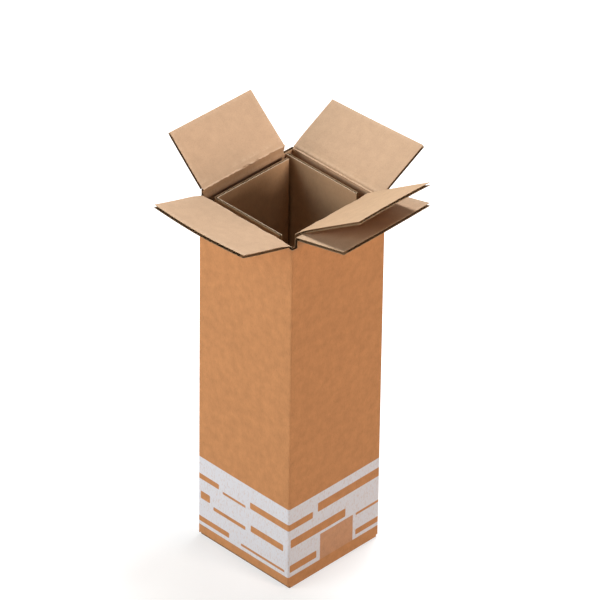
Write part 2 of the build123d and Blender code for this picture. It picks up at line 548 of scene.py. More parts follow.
class BoardEffects:
    """Shader groups that the papers share.

    CLOUD, PATCH, GRAIN, FLECK and BROKEN each give a noise's scale and detail.
    """

    CLOUD = (105.0, 2.0)
    PATCH = (14.0, 2.0)
    GRAIN = (850.0, 3.0)
    FLECK = (1300.0, 1.0)
    BROKEN = (380.0, 3.0)
    FIBRE_STRETCH = (1.0, 1.0, 0.35)
    FLECK_STEP = (0.66, 0.74)
    BROKEN_STEP = (0.3, 0.62)
    PATCH_SHARE = 0.35
    GRAIN_HEIGHT = 0.35
    WAVE_HEIGHT = 0.05
    BAR_BLUR = 0.25 * MM

    def __init__(self) -> None:
        """Builds every group once."""
        self.fibre = self._fibre()
        self.rub = self._rub()
        self.bar = self._bar()

    def _fibre(self) -> Tree:
        """Kraft pulp: cloudy tone, short fibres, dark flecks and the faint bands of the flutes below.

        Returns:
            The group.
        """
        w, given, out = new_group(
            "Kraft fibre",
            {"Colour": "Color", "Cloud": "Float", "Grain": "Float", "Fleck": "Float", "Bands": "Float"},
            {"Colour": "Color", "Height": "Float", "Grain": "Float"})
        spot = w.add("ShaderNodeTexCoord").outputs["Object"]
        fibres = w.add("ShaderNodeMapping", {"Vector": spot, "Scale": self.FIBRE_STRETCH}).outputs[0]
        cloud, patch = w.noise(spot, *self.CLOUD), w.noise(spot, *self.PATCH)
        grain = w.noise(fibres, *self.GRAIN)
        fleck = w.ramp(w.noise(fibres, *self.FLECK), *self.FLECK_STEP)
        wave = w.math("SINE", w.math("MULTIPLY", w.flat_place()["X"], 2 * math.pi / Board.pitch))
        uneven = [w.math("SUBTRACT", value, 0.5) for value in (cloud, patch, grain)]
        uneven[1] = w.math("MULTIPLY", uneven[1], self.PATCH_SHARE)
        tone = w.math("SUBTRACT", 1.0, w.math("MULTIPLY", fleck, given["Fleck"]))
        for part, share in zip((*uneven, wave), ("Cloud", "Cloud", "Grain", "Bands")):
            tone = w.math("ADD", tone, w.math("MULTIPLY", part, given[share]))
        lit = w.add("ShaderNodeVectorMath", {0: given["Colour"], "Scale": tone}, operation="SCALE")
        height = w.math("ADD", w.math("MULTIPLY", grain, self.GRAIN_HEIGHT),
                        w.math("MULTIPLY", wave, self.WAVE_HEIGHT))
        for name, value in (("Colour", lit.outputs[0]), ("Height", height), ("Grain", grain)):
            w.link(value, out[name])
        return w.tree

    def _rub(self) -> Tree:
        """Rubbed edges and scores, and the painted highlight on the crease beads: the sheet's
        wear_and_highlight attribute, broken up by fibres.

        Returns:
            The group.
        """
        w, given, out = new_group(
            "Rubbed edges and painted highlight", {"Colour": "Color", "Rubbed": "Color", "Amount": "Float"}, {"Colour": "Color"})
        rub_and_highlight = w.add("ShaderNodeAttribute", attribute_name=WEAR_AND_HIGHLIGHT).outputs["Fac"]
        broken = w.noise(w.add("ShaderNodeTexCoord").outputs["Object"], *self.BROKEN)
        mask = w.math("MULTIPLY", rub_and_highlight, w.ramp(broken, *self.BROKEN_STEP))
        mask = w.math("MULTIPLY", mask, given["Amount"], clamp=True)
        w.link(w.mix(mask, given["Colour"], given["Rubbed"]), out["Colour"])
        return w.tree

    def _bar(self) -> Tree:
        """One plain bar with rounded ends left bare in the print, on the flat sheet.

        Returns:
            The group.
        """
        names = ("Run", "Level", "Left", "Right", "Low", "High", "Round")
        w, given, out = new_group("Bare bar", {n: "Float" for n in names}, {"Mask": "Float"})
        ends = given["Round"]

        def past(value: str, low: str, high: str) -> Socket:
            """Measures how far a value lies past the bar's straight part.

            Args:
                value: Name of the value.
                low: Name of the bar's lower limit.
                high: Name of the bar's upper limit.

            Returns:
                The distance, squared.
            """
            start, end = w.math("ADD", given[low], ends), w.math("SUBTRACT", given[high], ends)
            before, after = w.math("SUBTRACT", start, given[value]), w.math("SUBTRACT", given[value], end)
            beyond = w.math("MAXIMUM", w.math("MAXIMUM", before, after), 0.0)
            return w.math("MULTIPLY", beyond, beyond)

        gap = w.math("SQRT", w.math("ADD", past("Run", "Left", "Right"), past("Level", "Low", "High")))
        outside = w.ramp(w.math("SUBTRACT", gap, ends), -self.BAR_BLUR, self.BAR_BLUR)
        w.link(w.math("SUBTRACT", 1.0, outside), out["Mask"])
        return w.tree


@dataclass(frozen=True)
class BareBar:
    """One plain bar left bare in the pale print, in millimetres on the flat sheet."""

    left: float
    right: float
    low: float
    high: float
    round: float = 1.2

    def sizes(self) -> dict[str, float]:
        """The bar's sizes in metres, by the names of the group's inputs."""
        return {name.capitalize(): size * MM for name, size in asdict(self).items()}


@dataclass(frozen=True)
class PaleBand:
    """Pale print near the foot of the walls, with plain bars and one plain field left bare."""

    colour: Colour = (0.695, 0.735, 0.815, 1.0)
    low: float = 15.0
    high: float = 100.5
    blur: float = 0.3
    cover: float = 0.97
    thin: float = 0.25
    thin_step: Span = (0.5, 0.3)
    field_bare: float = 0.9
    bare_field: BareBar = BareBar(175, 222, -9, 47.5, 0.3)
    bars: tuple[BareBar, ...] = (
        BareBar(-3, 30, 73, 79.5), BareBar(35.5, 68.5, 70.5, 73.5), BareBar(75, 164, 73.5, 81.5),
        BareBar(3.5, 17, 48.5, 58), BareBar(22, 68.5, 42.5, 47), BareBar(76, 122.5, 45, 53),
        BareBar(-3, 45, 19.5, 26), BareBar(62, 124.5, 19.5, 22.5), BareBar(171, 263, 77.5, 88.5),
        BareBar(133, 211, 51, 61.5), BareBar(132, 170, 20.5, 29.5), BareBar(226, 263, 44.5, 47.5),
        BareBar(226, 263, 19.5, 26.5))

    def lay(self, w: Wiring, effects: BoardEffects, colour: Socket, grain: Socket) -> Socket:
        """Lays the print over the kraft.

        Args:
            w: The material's wiring.
            effects: The shared shader groups.
            colour: The kraft's colour.
            grain: The kraft's fibres, which break up the ink.

        Returns:
            The printed colour.
        """
        place = w.flat_place()
        run, level = place["X"], place["Y"]

        def mask(bar: BareBar) -> Socket:
            """Mask of one bare bar."""
            inputs = {"Run": run, "Level": level, **bar.sizes()}
            return w.add("ShaderNodeGroup", inputs, node_tree=effects.bar).outputs["Mask"]

        def above(height: float) -> Socket:
            """Mask of what lies above a height."""
            return w.ramp(level, (height - self.blur) * MM, (height + self.blur) * MM)

        bare = w.math("MULTIPLY", mask(self.bare_field), self.field_bare)
        for bar in self.bars:
            bare = w.math("MAXIMUM", bare, mask(bar))
        inked = w.math("MULTIPLY", above(self.low), w.math("SUBTRACT", 1.0, above(self.high)))
        inked = w.math("MULTIPLY", inked, w.math("SUBTRACT", 1.0, bare))
        thinned = w.math("MULTIPLY", w.ramp(grain, *self.thin_step), self.thin)
        cover = w.math("SUBTRACT", self.cover, thinned)
        return w.mix(w.math("MULTIPLY", inked, cover), colour, self.colour)


@dataclass(frozen=True)
class KraftFinish:
    """One kraft paper: its colour, how lively its surface is, and how it rubs."""

    name: str
    colour: Colour
    rubbed: Colour
    cloud: float = 0.36
    grain: float = 0.22
    fleck: float = 0.16
    bands: float = 0.004
    rub: float = 0.5
    roughness: float = 0.86
    specular: float = 0.25
    relief: float = 0.25
    relief_depth: float = 0.35 * MM
    band: Optional[PaleBand] = None

    def material(self, effects: BoardEffects) -> Material:
        """Builds the paper's material.

        Args:
            effects: The shared shader groups.

        Returns:
            The material.
        """
        made = bpy.data.materials.new(self.name)
        w = fresh_wiring(made)
        pulp = w.add("ShaderNodeGroup", {
            "Colour": self.colour, "Cloud": self.cloud, "Grain": self.grain, "Fleck": self.fleck,
            "Bands": self.bands}, node_tree=effects.fibre).outputs
        colour = pulp["Colour"]
        if self.band is not None:
            colour = self.band.lay(w, effects, colour, pulp["Grain"])
        rub = w.add("ShaderNodeGroup", {"Colour": colour, "Rubbed": self.rubbed, "Amount": self.rub},
                    node_tree=effects.rub)
        bump = w.add("ShaderNodeBump", {
            "Strength": self.relief, "Distance": self.relief_depth, "Height": pulp["Height"]})
        skin = w.add("ShaderNodeBsdfPrincipled", {
            "Base Color": rub.outputs["Colour"], "Roughness": self.roughness,
            "Specular IOR Level": self.specular, "Normal": bump.outputs[0]})
        w.add("ShaderNodeOutputMaterial", {"Surface": skin.outputs[0]})
        return made


FINISHES = (
    KraftFinish("kraft_outside", (0.520, 0.248, 0.105, 1), (0.55, 0.30, 0.15, 1), band=PaleBand()),
    # kraft_inside's rubbed colour also serves as the painted highlight on the top flaps' crease beads
    KraftFinish("kraft_inside", (0.505, 0.34, 0.22, 1), (0.60, 0.43, 0.29, 1), cloud=0.2, rub=0.7),
    KraftFinish("insert_kraft", (0.50, 0.33, 0.20, 1), (0.60, 0.43, 0.29, 1), cloud=0.2),
    # The sleeve's outer face: kraft darkened beyond the carton's outside paper, painted shade for the narrow
    # gaps between sleeve and carton
    KraftFinish("insert_outside_with_painted_shade", (0.34, 0.18, 0.08, 1), (0.42, 0.25, 0.13, 1)),
    # The sleeve's flutes: the fluted medium made paler, painted light for the flute ends on the sleeve's lit
    # top edges
    KraftFinish("insert_flutes_painted_light", (0.40, 0.28, 0.17, 1), (0.46, 0.34, 0.22, 1), bands=0.0),
    # Pale rim on the sleeve's cut edges: painted highlight standing in for top edges lit from above
    KraftFinish("insert_rim_painted_highlight", (0.68, 0.53, 0.37, 1), (0.74, 0.60, 0.45, 1), bands=0.0, rub=0.8),
    # Fluted medium: a grey-brown paper, darkened further as painted shade for the hollows between the flutes
    KraftFinish("fluted_paper_with_painted_shade", (0.24, 0.145, 0.075, 1), (0.32, 0.21, 0.12, 1), bands=0.0),
    # Liner cut edges: kraft darkened as painted shade for the shadowed ends of the flutes
    KraftFinish("cut_edge_painted_shade", (0.34, 0.215, 0.12, 1), (0.44, 0.30, 0.19, 1), bands=0.0))
CARTON_PAPERS = ("kraft_outside", "kraft_inside", "fluted_paper_with_painted_shade", "cut_edge_painted_shade")
# In the sleeve the cut-edge slot takes the dark fluted paper, painted shade, and the rim slot the pale rim
# paper, a painted highlight
INSERT_PAPERS = ("insert_outside_with_painted_shade", "insert_kraft", "insert_flutes_painted_light", "fluted_paper_with_painted_shade", "insert_rim_painted_highlight")


@dataclass(frozen=True)
class Column:
    """One upright grid line of a folded sheet, on a panel, or on the corner after it if it has an angle."""

    side: Side
    x: float
    angle: Optional[float]
    run: float

    def is_bend(self) -> bool:
        """Whether the line is on an upright corner."""
        return self.angle is not None


def wrap_columns(panels: Sequence[tuple[float, Sequence[float]]], corner: float, start: float,
                 closed: bool) -> list[Column]:
    """Sets out the upright grid lines of a sheet that runs round a tube.

    Args:
        panels: Half width and line places of each panel, in the order of SHEET_ORDER.
        corner: Radius of the upright corners.
        start: Place of the first panel's start on the flat sheet.
        closed: Whether the last panel runs on to the first.

    Returns:
        The lines.
    """
    columns = []
    for side, (half, xs) in zip(SHEET_ORDER, panels):
        columns += [Column(side, x, None, start + half + x) for x in xs]
        start += 2 * half
        if closed or side is not SHEET_ORDER[-1]:
            for share in (step / CORNER_STEPS for step in range(1, CORNER_STEPS)):
                run = start - corner + 2 * corner * share
                columns.append(Column(side, half, share * math.pi / 2, run))
    if closed:
        columns.append(Column(columns[0].side, columns[0].x, None, start + panels[0][0] + columns[0].x))
    return columns


@dataclass
class FoldedTube:
    """A sheet folded round four corners, with leaves at its top and flaps under its foot."""

    board: Board
    half: Span
    corner: float
    plain_foot: float
    feet: dict[Side, Foot] = field(default_factory=dict)
    folds: dict[Side, Fold] = field(default_factory=dict)
    mitre_top: Optional[float] = None
    bow: dict[Side, float] = field(default_factory=dict)
    sag: dict[Side, Sag] = field(default_factory=dict)
    skew: dict[Side, float] = field(default_factory=dict)
    ragged: dict[Side, float] = field(default_factory=dict)
    ragged_seed: float = 8.3
    ragged_scale: float = 7 * MM
    crush: float = 0.34
    crush_below: float = 2.2 * MM
    crush_above: float = 9.0 * MM
    crush_wave: float = 0.55
    crush_seed: float = 3.1
    crush_scale: float = 11 * MM
    flute_start: float = 1 * MM

    def half_of(self, way: np.ndarray) -> float:
        """Half of the tube's outer size along a level direction."""
        return abs(way[0]) * self.half[0] + abs(way[1]) * self.half[1]

    def profile(self, side: Optional[Side], x: np.ndarray, level: np.ndarray,
                depth: np.ndarray) -> tuple[np.ndarray, np.ndarray]:
        """Follows a panel from under the foot to the end of its leaf.

        Args:
            side: The panel, or None on an upright corner.
            x: Distance along the panel from its middle.
            level: Distance along the sheet's outer face, equal to the height on the panel itself.
            depth: Depth in the board, from its outer face.

        Returns:
            How far outwards of the panel's outer face the points are, and their heights.
        """
        out, high = -depth + 0 * level, level + 0 * depth
        foot, fold = self.feet.get(side), self.folds.get(side)
        if foot is not None:
            turn = np.clip((foot.arc_top - level) / foot.radius, 0, math.pi / 2)
            under = np.maximum(foot.arc_end - level, 0)
            low = level < foot.arc_top
            out = np.where(low, -foot.radius + (foot.radius - depth) * np.cos(turn) - under, out)
            high = np.where(low, foot.arc_top - (foot.radius - depth) * np.sin(turn), high)
            out, high = np.minimum(out, -depth), np.maximum(high, foot.height + depth)
        else:
            high = np.maximum(high, self.plain_foot)
        if side in self.bow:
            run = np.clip(level / min(f.height for f in self.folds.values()), 0, 1)
            swell = np.cos(math.pi * np.clip(x / (2 * self.half_of(side.along)), -0.5, 0.5))
            out = out + self.bow[side] * swell * np.sin(math.pi * run)
        if fold is not None:
            leaf_out, leaf_high = self.leaf(side, fold, x, level, depth)
            out = np.where(level > fold.height, leaf_out, out)
            high = np.where(level > fold.height, leaf_high, high)
        elif self.mitre_top is not None:
            high = np.minimum(high, self.mitre_top - depth)
        return out, high

    def leaf(self, side: Side, fold: Fold, x: np.ndarray, level: np.ndarray,
             depth: np.ndarray) -> tuple[np.ndarray, np.ndarray]:
        """Follows a leaf from its crease to its end.

        Args:
            side: The panel.
            fold: Its crease.
            x: Distance along the panel from its middle.
            level: Distance along the sheet's outer face.
            depth: Depth in the board, from its outer face.

        Returns:
            How far outwards of the panel's outer face the points are, and their heights.
        """
        past = np.maximum(level - fold.height, 0)
        turn = np.minimum(past / fold.hollow, fold.angle)
        straight = np.maximum(past - fold.hollow * fold.angle, 0)
        short = self.skew.get(side, 0.0) * (x / self.half_of(side.along) + 1) / 2
        if side in self.ragged:
            short = short + self.ragged[side] * ripple(x, self.ragged_seed, self.ragged_scale)
        straight = straight * (1 - short / fold.length)
        off = level - fold.height - fold.hollow * fold.angle / 2
        near = np.exp(-(off / np.where(off < 0, self.crush_below, self.crush_above)) ** 2)
        uneven = 1 + self.crush_wave * ripple(x, self.crush_seed + side.value, self.crush_scale)
        radius = fold.hollow + depth * (1 - near * self.crush * uneven)
        lift = self.sag[side].lift(x, straight)
        sine, cosine = math.sin(fold.angle), math.cos(fold.angle)
        out = fold.hollow - radius * np.cos(turn) + straight * sine - lift * cosine
        return out, fold.height + radius * np.sin(turn) + straight * cosine + lift * sine

    def panel(self, side: Side, x: np.ndarray, level: np.ndarray, depth: np.ndarray) -> np.ndarray:
        """Places points on a panel.

        Args:
            side: The panel.
            x: Distance along the panel from its middle.
            level: Distance along the sheet's outer face.
            depth: Depth in the board, from its outer face.

        Returns:
            The points, in metres.
        """
        x, level, depth = np.broadcast_arrays(*(np.asarray(a, float) for a in (x, level, depth)))
        out, high = self.profile(side, x, level, depth)
        if self.corner < self.board.thickness:
            room = self.half_of(side.along) - depth
            x = np.clip(x, -room, room)
        reach = self.half_of(side.outward) + out
        flat = side.outward * reach[..., None] + side.along * x[..., None]
        return np.concatenate([flat, high[..., None]], axis=-1)

    def bend(self, side: Side, angle: float, level: np.ndarray, depth: float) -> np.ndarray:
        """Places points on the upright corner that follows a panel.

        Args:
            side: The panel before the corner.
            angle: How far round the corner, in radians.
            level: Heights.
            depth: Depth in the board, from its outer face.

        Returns:
            The points, in metres.
        """
        out, high = self.profile(None, np.zeros_like(level), level, np.full_like(level, depth))
        middle = side.outward * (self.half_of(side.outward) - self.corner) \
            + side.along * (self.half_of(side.along) - self.corner)
        facing = side.outward * math.cos(angle) + side.along * math.sin(angle)
        flat = middle + facing * (self.corner + out)[:, None]
        if self.corner < self.board.thickness:
            room = np.array(self.half) - depth
            flat = np.clip(flat, -room, room)
        return np.concatenate([flat, high[:, None]], axis=-1)

    def sheet(self, columns: Sequence[Column], levels: np.ndarray,
              reach: Callable[[Column, Column], Span], corner_rub: float, rubbed: Sequence[float],
              rub_width: float) -> Sheet:
        """Sets out the folded sheet as a grid.

        Args:
            columns: Its upright grid lines.
            levels: Its levels.
            reach: Gives the sheet's lowest and highest level between two lines.
            corner_rub: How much the upright corners are rubbed.
            rubbed: Levels that are rubbed.
            rub_width: How far the rubbing spreads from them.

        Returns:
            The sheet.
        """
        def place(depth: float) -> np.ndarray:
            """Grid points at that depth, columns by levels by 3."""
            return np.array([self.bend(c.side, c.angle, levels, depth) if c.is_bend()
                             else self.panel(c.side, c.x, levels, depth) for c in columns])

        keep = np.zeros((len(columns) - 1, len(levels) - 1), bool)
        for i, (before, after) in enumerate(zip(columns, columns[1:])):
            low, high = reach(before, after)
            keep[i] = (levels[:-1] > low - HAIR) & (levels[1:] < high + HAIR)
        corners = np.array([corner_rub * c.is_bend() for c in columns])
        wear_and_highlight = np.maximum(corners[:, None], near_any(levels, rubbed, rub_width)[None, :])
        return Sheet(place, flat_places([c.run for c in columns], levels), wear_and_highlight, keep)

    def lay_flutes(self, stock: Stock, flutes: FluteTree, side: Side, across: Span, up: Span, rows: int,
                   paper: Paper = Paper.FLUTE) -> None:
        """Adds fluted paper between the liners of a panel.

        Args:
            stock: The piece's stock.
            flutes: Maker of fluted paper.
            side: The panel.
            across: Where the paper starts and ends along the panel.
            up: Level where it starts, and its length.
            rows: Points along each flute.
            paper: Which paper it is dressed as.
        """
        points, faces = flutes.make(self.board, across[1] - across[0], up[1], rows)
        laid = self.panel(side, sum(across) / 2 + points[:, 0], up[0] + points[:, 1], points[:, 2])
        stock.add(laid, faces, [paper.value] * len(faces))

    def leaf_span(self, fold: Fold) -> Span:
        """Level where a leaf's fluted paper starts, and its length."""
        start = fold.flat + self.flute_start
        return start, fold.tip - start - EDGE_INSET


@dataclass
class Carton:
    """The carton without its front and back top flaps: walls, bottom, and the left and right flaps."""

    board: Board = Board(3.5 * MM)
    side: float = 130 * MM
    wall_height: float = 416.8 * MM
    corner: float = 2.0 * MM
    foot_radius: float = 2.0 * MM
    seam: float = 0.5 * MM
    flap_depth: float = 64.75 * MM
    slot_bottom: float = 415.8 * MM
    mitre_top: float = 423.7 * MM
    hollow: float = 1.2 * MM
    left_turn: float = 76.0
    left_skew: float = 2.0 * MM
    right_turn: float = 61.5
    right_skew: float = 4.5 * MM
    left_sag: Sag = Sag(65 * MM, 1.9 * MM, -2.6 * MM, 40 * MM)
    right_sag: Sag = Sag(65 * MM, 0.5 * MM, -1.0 * MM, 42 * MM)
    inner_width: float = 122.2 * MM
    outer_width: float = 123.5 * MM
    front_slot: float = 7.25 * MM
    back_slot: float = 16.0 * MM
    long_end: float = 62.5 * MM
    flute_margin: float = 2.5 * MM
    flute_rows: int = 9
    bows: tuple[float, ...] = (0.5 * MM, 0.6 * MM, 0.4 * MM, 0.5 * MM)
    lap_width: float = 32 * MM
    lap_run: float = 1.0
    lap_inset: float = 8 * MM
    lap_edge: float = 2 * MM
    lap_step: float = 40 * MM
    column_step: float = 6.2 * MM
    level_step: float = 14 * MM
    under_step: float = 16 * MM
    top_step: float = 2 * MM
    top_zone: float = 8 * MM
    first_level: float = 6 * MM
    foot_points: int = 6
    fold_points: int = 8
    leaf_points: int = 11
    corner_rub: float = 0.1
    rub_width: float = 2.5 * MM

    def tube(self) -> FoldedTube:
        """Sets out the carton's fold lines.

        Returns:
            The folded sheet.
        """
        t, reach = self.board.thickness, (self.side - self.seam) / 2
        outer, inner = Foot(0.0, self.foot_radius, reach), Foot(t, self.foot_radius, reach)
        left = Fold(self.wall_height, self.hollow, self.left_turn, self.flap_depth + self.left_skew)
        right = Fold(self.wall_height, self.hollow, self.right_turn, self.flap_depth)
        return FoldedTube(
            self.board, (self.side / 2, self.side / 2), self.corner, t,
            feet={Side.FRONT: outer, Side.BACK: outer, Side.LEFT: inner, Side.RIGHT: inner},
            folds={Side.LEFT: left, Side.RIGHT: right}, mitre_top=self.mitre_top,
            bow=dict(zip(Side, self.bows)), sag={Side.LEFT: self.left_sag, Side.RIGHT: self.right_sag},
            skew={Side.LEFT: self.left_skew, Side.RIGHT: self.right_skew})

    def columns(self) -> list[Column]:
        """Sets out the upright grid lines all round the carton.

        Returns:
            The lines, of which the last lies on the first.
        """
        half, panels = self.side / 2, []
        ends = [self.inner_width / 2, self.outer_width / 2, half - self.corner]
        for side in SHEET_ORDER:
            cut, step = self.wall_top(side)[0], self.column_step
            panels.append((half, sorted({*(-e for e in ends), *ends, *spread(-ends[0], cut, step),
                                         *spread(cut, ends[0], step)})))
        return wrap_columns(panels, self.corner, -self.side, True)

    def wall_top(self, side: Side) -> Span:
        """Where a wall's top starts and ends along its panel, between the corner slots.

        Args:
            side: The panel.

        Returns:
            Both places, from the panel's middle.
        """
        slot = {Side.FRONT: self.front_slot, Side.BACK: self.back_slot}.get(side)
        start = -self.inner_width / 2 if slot is None else slot - self.side / 2
        return start, self.long_end if side in (Side.BACK, Side.RIGHT) else self.inner_width / 2

    def reach(self, a: Column, b: Column) -> Span:
        """Finds how far the sheet goes between two columns.

        Args:
            a: One column.
            b: The next one.

        Returns:
            The lowest and the highest level.
        """
        if a.is_bend() or b.is_bend():
            return self.board.thickness, self.slot_bottom
        tube, outer = self.tube(), a.side in (Side.FRONT, Side.BACK)
        bottom = self.outer_width / 2 if outer else self.inner_width / 2
        wide, (start, end) = max(abs(a.x), abs(b.x)) - SLACK, self.wall_top(a.side)
        low = tube.feet[a.side].tip if wide < bottom else self.board.thickness
        if a.x > start - SLACK and b.x < end + SLACK:
            return low, self.mitre_top if outer else tube.folds[a.side].tip
        return low, self.slot_bottom

    def levels(self, tube: FoldedTube) -> np.ndarray:
        """Sets out the grid's levels, from under the foot to the ends of the leaves.

        Args:
            tube: The carton's fold lines.

        Returns:
            The levels.
        """
        feet, folds, top = tube.feet.values(), tube.folds.values(), self.slot_bottom
        return tidy_levels(
            *(np.linspace(f.arc_end, f.arc_top, self.foot_points) for f in feet),
            *(spread(f.tip, f.arc_end, self.under_step) for f in feet),
            *(np.linspace(f.height, f.flat, self.fold_points) for f in folds),
            *(np.linspace(f.flat, f.tip, self.leaf_points) for f in folds),
            [self.board.thickness, top, self.mitre_top - self.board.thickness, self.mitre_top],
            spread(self.first_level, top - self.top_zone, self.level_step),
            spread(top - self.top_zone, top, self.top_step))

    def build(self, flutes: FluteTree, materials: Sequence[Material]) -> Piece:
        """Builds the carton.

        Args:
            flutes: Maker of fluted paper.
            materials: One material for each paper.

        Returns:
            The carton's piece.
        """
        tube, stock = self.tube(), Stock()
        rubbed = [self.wall_height, *(f.tip for f in tube.folds.values()), 0.0, self.board.thickness]
        sheet = tube.sheet(self.columns(), self.levels(tube), self.reach, self.corner_rub, rubbed,
                           self.rub_width)
        sheet.closed = True
        sheet.lay_board(stock, self.board)
        half = self.inner_width / 2 - self.flute_margin
        for side, fold in tube.folds.items():
            tube.lay_flutes(stock, flutes, side, (-half, half), tube.leaf_span(fold), self.flute_rows)
        self._lap(stock)
        piece = stock.piece("carton_board", materials)
        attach(piece, "box")
        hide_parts("carton")
        return piece

    def _lap(self, stock: Stock) -> None:
        """Adds the glued lap inside the front wall, at its right end.

        Args:
            stock: The piece's stock.
        """
        t = self.board.thickness
        inner, low = self.side / 2 - t, 2 * t + self.lap_inset
        xs = np.array([inner - self.lap_width, inner - self.lap_edge, inner])
        zs = np.array(spread(low, self.wall_height - self.lap_inset, self.lap_step))
        flat = flat_places(xs, zs)

        def place(depth: float) -> np.ndarray:
            """Grid of the lap at that depth."""
            return np.insert(flat, 1, -inner + depth, axis=-1)

        lap = Sheet(place, flat + self.lap_run, np.zeros(flat.shape[:2]))
        lap.lay_liner(stock, (0.0, t), (Paper.FLUTE, Paper.INSIDE))


@dataclass(frozen=True)
class Crumple:
    """How the liner buckles along a crease: a bead of uneven height that wanders across the bend."""

    base: float = 0.6
    coarse: float = 12 * MM
    fine: float = 4 * MM
    fine_share: float = 0.5
    fine_seed: float = 4
    drift: float = 0.09
    drift_scale: float = 7 * MM
    drift_seed: float = 9
    width: float = 0.15

    def lay(self, xs: np.ndarray, share: np.ndarray, seed: float) -> tuple[np.ndarray, np.ndarray]:
        """Makes the bead.

        Args:
            xs: Places along the crease.
            share: Places across it, from 0 to 1.
            seed: Picks the crumple.

        Returns:
            The bead's height and where the sheet is past its middle: the bead's upper side, which the crease
            shows as a painted highlight.
        """
        wave = self.base + ripple(xs, seed, self.coarse)
        wave = wave + self.fine_share * ripple(xs, seed + self.fine_seed, self.fine)
        wander = ripple(xs, seed + self.drift_seed, self.drift_scale)
        middle = (0.5 + self.drift * wander)[:, None]
        bead = wave[:, None] * np.exp(-((share[None, :] - middle) / self.width) ** 2)
        return bead, share[None, :] > middle


